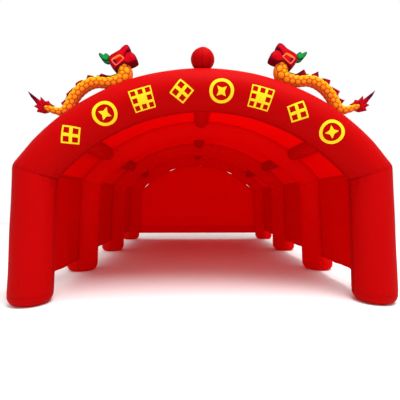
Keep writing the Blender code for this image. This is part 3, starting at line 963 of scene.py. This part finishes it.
def makeDragonBody(word):
    side, out, up = dragonShifts[word]
    along, route = smoothRoute(dragonBody, scales["ringSpacing"])
    ahead = np.gradient(route[:, :2], axis=0)
    ahead /= np.linalg.norm(ahead, axis=1)[:, None]
    spine = together(-ahead[:, 1], ahead[:, 0])
    turn = 2 * np.pi * np.arange(scales["sides"]) / scales["sides"]
    fromSpine = np.abs((turn - np.pi / 2 + np.pi) % (2 * np.pi) - np.pi)
    alongs, spines = np.meshgrid(along, fromSpine, indexing="ij")
    near, edge, row = scalePattern(alongs, spines)
    plain = smoothly((spines - scales["bellyFrom"]) / 0.35)
    strip = smoothly((spines - 0.10) / 0.12)
    dome = np.clip(1 - near ** 2, 0, 1)
    relief = scales["relief"] * (0.75 * dome - 0.8 * edge * (0.3 + 0.7 * dome)) * (1 - plain) * strip
    relief += scales["bellyWrinkles"] * np.sin(alongs * 75) * plain
    relief *= smoothly((along[-1] - along) / 0.12)[:, None]
    reach = route[:, 2][:, None] + relief
    ends = np.minimum(along, along[-1] - along)
    reach = reach * np.sqrt(np.clip(1 - (1 - np.minimum(ends / 0.03, 1)) ** 2, 0.02, 1))[:, None]
    offsets = reach * np.sin(turn)
    x = side * (out + route[:, 0][:, None] + spine[:, 0][:, None] * offsets)
    z = up + route[:, 1][:, None] + spine[:, 1][:, None] * offsets
    y = archPlaces[0] + reach * np.cos(turn)
    places = clearOfFrontArch(together(x, y, z).reshape(-1, 3))
    uv = together(alongs, spines * route[:, 2][:, None]).reshape(-1, 2)
    piece = newPiece(f"dragonBody{word}", places, tubeFaces(len(along), scales["sides"]), uv=uv,
                     edge=edge * (1 - 0.8 * plain) * strip, dome=dome * (1 - plain),
                     tone=np.array(scales["tones"])[row.astype(int)] * (1 - plain),
                     neck=smoothly((0.36 - alongs) / 0.12), crest=1 - smoothly((spines - 0.09) / 0.08))
    faceOutwards(piece)
    return piece


# how finely a solid is cut anew before it is shaped, and how it is smoothed
remesh = {
    "head": {"voxel": 0.006, "smoothing": 0.5, "passes": 14},
    "horn": {"voxel": 0.003, "smoothing": 0.5, "passes": 8},
    "fin": {"voxel": 0.003, "smoothing": 0.4, "passes": 3},
}


def nodeCopy(nodeName, name, voxel, smoothing, passes):
    mesh = bpy.data.objects[nodeName].data.copy()
    piece = addObject(name, mesh)
    shape = bmesh.new()
    shape.from_mesh(mesh)
    bmesh.ops.remove_doubles(shape, verts=shape.verts, dist=0.00002)
    shape.to_mesh(mesh)
    shape.free()
    mesh.materials.clear()
    applyModifier(piece, "REMESH", mode="VOXEL", voxel_size=voxel)
    applyModifier(piece, "SMOOTH", factor=smoothing, iterations=passes)
    piece.data.shade_smooth()
    return piece


def fromOutline(piece):
    # how far each point lies inside the piece's outline, seen from the front
    places = placesOf(piece)
    flat = np.zeros(len(places) * 3, dtype=np.float32)
    piece.data.vertices.foreach_get("normal", flat)
    onOutline = np.abs(flat.reshape(-1, 3)[:, 1]) < 0.45
    tree = KDTree(int(onOutline.sum()))
    for k, place in enumerate(places[onOutline]):
        tree.insert((place[0], 0.0, place[2]), k)
    tree.balance()
    return np.array([tree.find((place[0], 0.0, place[2]))[2] for place in places])


# distances from the middle and heights, as in the body's table
head = {
    "centre": (1.396, 4.066),
    "halfWidth": 0.128,
    "cheekSwell": 0.016,
    "mouth": ((1.262, 4.172), (1.300, 4.132), (1.318, 4.085)),
    "mouthDepth": 0.022,
    "nostril": (1.285, 4.258),
    "nostrilDepth": 0.014,
    "brow": (1.440, 4.145),
    "browSwell": 0.010,
    "jaw": (1.190, 4.075),
    "jawSwell": 0.012,
}


def fromLine(x, z, line):
    best = np.full_like(x, 10.0)
    for (x1, z1), (x2, z2) in zip(line, line[1:]):
        length = (x2 - x1) ** 2 + (z2 - z1) ** 2
        share = np.clip(((x - x1) * (x2 - x1) + (z - z1) * (z2 - z1)) / length, 0, 1)
        best = np.minimum(best, np.hypot(x - x1 - share * (x2 - x1), z - z1 - share * (z2 - z1)))
    return best


def ownPlace(places, word):
    side, out, up = dragonShifts[word]
    return side * places[:, 0] - out, places[:, 2] - up


def makeHead(word):
    piece = nodeCopy(f"dragon_{word.lower()}_head", f"dragonHead{word}", **remesh["head"])
    places = placesOf(piece)
    x, z = ownPlace(places, word)
    sideways = places[:, 1] - archPlaces[0]
    fromCentre, fromJaw, fromBrow, fromNostril = (
        np.hypot((x - head[spot][0]) / stretch, z - head[spot][1])
        for spot, stretch in (("centre", 1.25), ("jaw", 1), ("brow", 1), ("nostril", 1)))
    cheek = smoothly(np.abs(sideways) / head["halfWidth"] * 1.6 - 0.6)
    mouth = bell(fromLine(x, z, head["mouth"]), 0.014)
    swell = head["cheekSwell"] * bell(fromCentre, 0.15)
    swell += head["jawSwell"] * bell(fromJaw, 0.045) + head["browSwell"] * bell(fromBrow, 0.05)
    nostril = bell(fromNostril, 0.014)
    swell -= head["mouthDepth"] * mouth + head["nostrilDepth"] * nostril
    places[:, 1] += np.sign(sideways) * swell * cheek
    setPlaces(piece, places)
    # the dark rim along the outline is partly printed edging and partly painted shade where the head turns away
    addValues(piece, seam=np.clip(0.8 * np.maximum(mouth, nostril) * cheek, 0, 1),
              rim=0.85 * bell(fromOutline(piece), 0.02))
    return piece


# around the eye's patch, on the cheek, as in the body's table
eye = {
    "outline": ((1.518, 4.003), (1.518, 4.034), (1.456, 4.078), (1.387, 4.108), (1.342, 4.080),
                (1.316, 4.050), (1.356, 4.008), (1.402, 3.965), (1.449, 3.934), (1.485, 3.962)),
    "pupil": (1.474, 3.996),
    "pupilReach": 0.052,
    "browDirection": (0.49, 0.87),
    "rings": 16,
    "pointsPerSide": 6,
    "rimWidth": 0.14,
    "lift": 0.003,
    "thickness": 0.0024,
}


def roundedOutline(outline, pointsPerSide):
    points = np.array(outline)
    found = []
    for k in range(len(points)):
        corners = [points[(k + step) % len(points)] for step in (-1, 0, 1, 2)]
        found += [curved(*corners, t) for t in np.arange(pointsPerSide) / pointsPerSide]
    return np.array(found)


def makeEye(word, place, headPiece):
    side, out, up = dragonShifts[word]
    face = -1 if place == "front" else 1
    rim = roundedOutline(eye["outline"], eye["pointsPerSide"])
    middle = rim.mean(axis=0)
    shares = np.linspace(0, 1, eye["rings"] + 1)[1:]
    flatPoints = np.vstack([middle] + [middle + (rim - middle) * share for share in shares])
    fromMiddle = np.concatenate(([0.0], np.repeat(shares, len(rim))))
    bpy.context.view_layer.update()
    places = []
    for x, z in flatPoints:
        start = Vector((side * (x + out), archPlaces[0] + face, z + up))
        hit, spot, _, _ = headPiece.ray_cast(start, Vector((0, -face, 0)))
        reach = spot.y if hit else archPlaces[0] + face * head["halfWidth"]
        places.append((start.x, reach + face * eye["lift"], start.z))
    toPupil = np.hypot(*(flatPoints - eye["pupil"]).T)
    towardsBrow = (flatPoints - middle) @ np.array(eye["browDirection"])
    piece = newPiece(f"dragonEye{place.capitalize()}{word}", places, fanFaces(len(rim), eye["rings"]),
                     uv=flatPoints,
                     rim=smoothly((fromMiddle - 1 + eye["rimWidth"] * 1.5) / (eye["rimWidth"] * 0.5)),
                     pupil=1 - smoothly(toPupil / eye["pupilReach"] * 1.4 - 0.5),
                     glow=smoothly(towardsBrow / 0.02 - 1.2), seam=bell(1 - fromMiddle, 0.05))
    area = clothArea(piece)
    thicken(piece, eye["thickness"])
    finishPiece(piece, eyeCloth, "eye_orange", f"dragon_{word.lower()}_eye_{place}")


def heightOverBody(places, word):
    side = dragonShifts[word][0]
    x, z = ownPlace(places, word)
    _, route = smoothRoute(dragonBody, 0.02)
    away = np.hypot(x[:, None] - route[:, 0], z[:, None] - route[:, 1]) - route[:, 2]
    nearest = away.argmin(axis=1)
    outwards = together(side * (x - route[nearest, 0]), 0.0, z - route[nearest, 1])
    return away.min(axis=1), outwards / np.linalg.norm(outwards, axis=1)[:, None]


fin = {"lift": 0.018, "liftOver": 0.008, "stretch": 0.35, "rim": 0.35}
tuft = {"root": (2.66, 3.28), "darkFrom": 0.09, "darkOver": 0.13, "rays": 9.0, "rayDepth": 0.003}


def makeDragon(word):
    low = word.lower()
    body = makeDragonBody(word)
    headPiece = makeHead(word)
    applyModifier(body, "BOOLEAN", object=headPiece, operation="DIFFERENCE", solver="EXACT")
    body.data.shade_smooth()
    finishPiece(body, scaleCloth, "gold_scales", f"dragon_{low}_body")
    finishPiece(headPiece, dragonCloth, "dragon_red", f"dragon_{low}_head")
    for place in ("front", "back"):
        makeEye(word, place, headPiece)
        horn = nodeCopy(f"dragon_{low}_horn_{place}", f"dragonHorn{place.capitalize()}{word}", **remesh["horn"])
        places = placesOf(horn)
        sideways = places[:, 1] - places[:, 1].mean()
        addValues(horn, rim=bell(fromOutline(horn), 0.018), seam=bell(sideways, 0.004))
        finishPiece(horn, hornCloth, "horn_green", f"dragon_{low}_horn_{place}")

    crest = nodeCopy(f"dragon_{low}_fin", f"dragonFin{word}", **remesh["fin"])
    high, outwards = heightOverBody(placesOf(crest), word)
    taller = fin["lift"] * smoothly(high / fin["liftOver"]) + fin["stretch"] * np.clip(high, 0, 0.1)
    setPlaces(crest, placesOf(crest) + outwards * taller[:, None])
    dark = np.maximum(smoothly((high - 0.012) / 0.05), bell(fromOutline(crest), 0.008))
    addValues(crest, rim=fin["rim"] + (1 - fin["rim"]) * dark, seam=1 - smoothly((high - 0.002) / 0.006))
    finishPiece(crest, dragonCloth, "dragon_red", f"dragon_{low}_fin")

    tail = nodeCopy(f"dragon_{low}_tail_tuft", f"dragonTailTuft{word}", **remesh["fin"])
    places = placesOf(tail)
    x, z = ownPlace(places, word)
    fromRoot = np.hypot(x - tuft["root"][0], z - tuft["root"][1])
    turn = np.arctan2(z - tuft["root"][1], x - tuft["root"][0])
    sideways = places[:, 1] - archPlaces[0]
    ray = np.sin(turn * tuft["rays"] + 0.6) * smoothly(fromRoot / 0.06)
    places[:, 1] += np.sign(sideways) * tuft["rayDepth"] * ray * smoothly(np.abs(sideways) / 0.01)
    setPlaces(tail, places)
    addValues(tail, rim=np.maximum(smoothly((fromRoot - tuft["darkFrom"]) / tuft["darkOver"]),
                                   0.8 * bell(fromOutline(tail), 0.008)),
              seam=0.6 * smoothly(-ray) * smoothly(fromRoot / 0.08) + 0.4 * bell(sideways, 0.005))
    finishPiece(tail, dragonCloth, "dragon_red", f"dragon_{low}_tail_tuft")


for word in dragonShifts:
    makeDragon(word)
print("dragons made")


# gold ornaments sewn to the front arch

ornament = {
    "count": 8,
    "middleAngle": radians(-0.9),
    "spacing": radians(10.45),
    "faceTurn": radians(-17),
    "size": 0.39,
    "stroke": 0.05,
    "petalReach": 0.27,
    "petalWaist": 0.45,
    "lift": 0.004,
    "thickness": 0.003,
}


def editAll():
    bpy.ops.object.mode_set(mode="EDIT")
    bpy.ops.mesh.select_all(action="SELECT")


# each shape is left in edit mode, flat about the origin, and gives the side of the square it is cut from

def latticeShape():
    square = ornament["size"] / sqrt(2)
    bpy.ops.mesh.primitive_grid_add(x_subdivisions=2, y_subdivisions=2, size=square)
    editAll()
    bpy.ops.transform.rotate(value=radians(45), orient_axis="Z", center_override=(0, 0, 0))
    bpy.ops.mesh.inset(thickness=ornament["stroke"] / 2, use_individual=True)
    bpy.ops.mesh.delete(type="FACE")
    return square


def wheelShape():
    bpy.ops.mesh.primitive_circle_add(vertices=32, radius=ornament["size"] / 2, fill_type="NGON")
    editAll()
    bpy.ops.mesh.inset(thickness=ornament["stroke"])
    bpy.ops.mesh.delete(type="FACE")
    bpy.ops.mesh.select_all(action="DESELECT")
    bpy.ops.mesh.primitive_circle_add(vertices=8, radius=ornament["size"] * ornament["petalReach"],
                                      fill_type="TRIFAN")
    shape = bmesh.from_edit_mesh(bpy.context.object.data)
    petals = [vertex for vertex in shape.verts if vertex.select and vertex.co.length > 0.01]
    for vertex in petals[::2]:
        vertex.co *= ornament["petalWaist"]
    return ornament["size"]


def windowShape():
    square = ornament["size"] * 0.9
    bpy.ops.mesh.primitive_grid_add(x_subdivisions=3, y_subdivisions=3, size=square)
    editAll()
    bpy.ops.mesh.inset(thickness=ornament["stroke"] / 2.6, use_individual=True)
    shape = bmesh.from_edit_mesh(bpy.context.object.data)
    for face in shape.faces:
        middle = face.calc_center_median()
        if max(abs(middle.x), abs(middle.y)) < 0.02:
            face.select = False
    bpy.ops.mesh.delete(type="FACE")
    return square


def makeOrnament(number, shapeMaker):
    deselectAll()
    square = round(shapeMaker(), 3)
    bpy.ops.mesh.select_all(action="SELECT")
    bpy.ops.mesh.subdivide(number_cuts=4)
    bpy.ops.object.mode_set(mode="OBJECT")
    piece = bpy.context.object
    piece.name = f"goldOrnament{number + 1}"
    flatPlaces = placesOf(piece)
    area = clothArea(piece)
    angle = ornament["middleAngle"] + (number - (ornament["count"] - 1) / 2) * ornament["spacing"]
    atFace = arch["arcRadius"] + arch["radius"] * sin(ornament["faceTurn"])
    turn = pi - ornament["faceTurn"] - flatPlaces[:, 1] / arch["radius"]
    places, _ = onFrontArch(angle + flatPlaces[:, 0] / atFace, turn, ornament["lift"])
    setPlaces(piece, places)
    thicken(piece, ornament["thickness"], offset=1.0)
    finishPiece(piece, goldCloth, "gold_scales")


shapeMakers = (latticeShape, wheelShape, windowShape)
for number in range(ornament["count"]):
    makeOrnament(number, shapeMakers[number % len(shapeMakers)])
print("ornaments made")


# camera, floor and light

view = {
    "lens": 29.7,
    "place": (-0.1896, -9.9798, 1.7275),
    "tilt": radians(90 - 0.17),
    "swing": radians(-1.195),
}
camera = addObject("camera", bpy.data.cameras.new("camera"))
camera.data.lens = view["lens"]
camera.data.sensor_width = 36.0
camera.data.clip_end = 300.0
camera.location = view["place"]
camera.rotation_euler = (view["tilt"], 0.0, view["swing"])
bpy.context.scene.camera = camera

deselectAll()
bpy.ops.mesh.primitive_plane_add(size=30, location=(0, 0, -0.002))
floor = bpy.context.object
floor.name = "floor"
floorPaint, floorTree, floorShader, _ = newMaterial("floorPaint")
grey = mixColours(floorTree, noiseOf(floorTree, 0.7), colour(0.84, 0.84, 0.84), colour(0.88, 0.88, 0.88))
setSurface(floorTree, floorShader, grey, roughness=0.9, gloss=0.1)
floor.data.materials.append(floorPaint)

light = {"key": 3000.0, "keySize": 8.0, "keyPlace": (2.4, -9.0, 15.0), "keyAim": (0.0, -1.0, 2.0), "sky": 1.0}


def areaLight(name, power, size, place, aim):
    lamp = addObject(name, bpy.data.lights.new(name, "AREA"))
    lamp.data.energy = power
    lamp.data.size = size
    lamp.location = place
    lamp.rotation_euler = (Vector(aim) - Vector(place)).to_track_quat("-Z", "Y").to_euler()


areaLight("softKey", light["key"], light["keySize"], light["keyPlace"], light["keyAim"])
world = bpy.data.worlds.new("studio")
world.use_nodes = True
world.node_tree.nodes["Background"].inputs["Color"].default_value = colour(1.0, 1.0, 1.0)
world.node_tree.nodes["Background"].inputs["Strength"].default_value = light["sky"]
bpy.context.scene.world = world
bpy.context.scene.view_settings.view_transform = "Standard"
print("camera, floor and light placed")
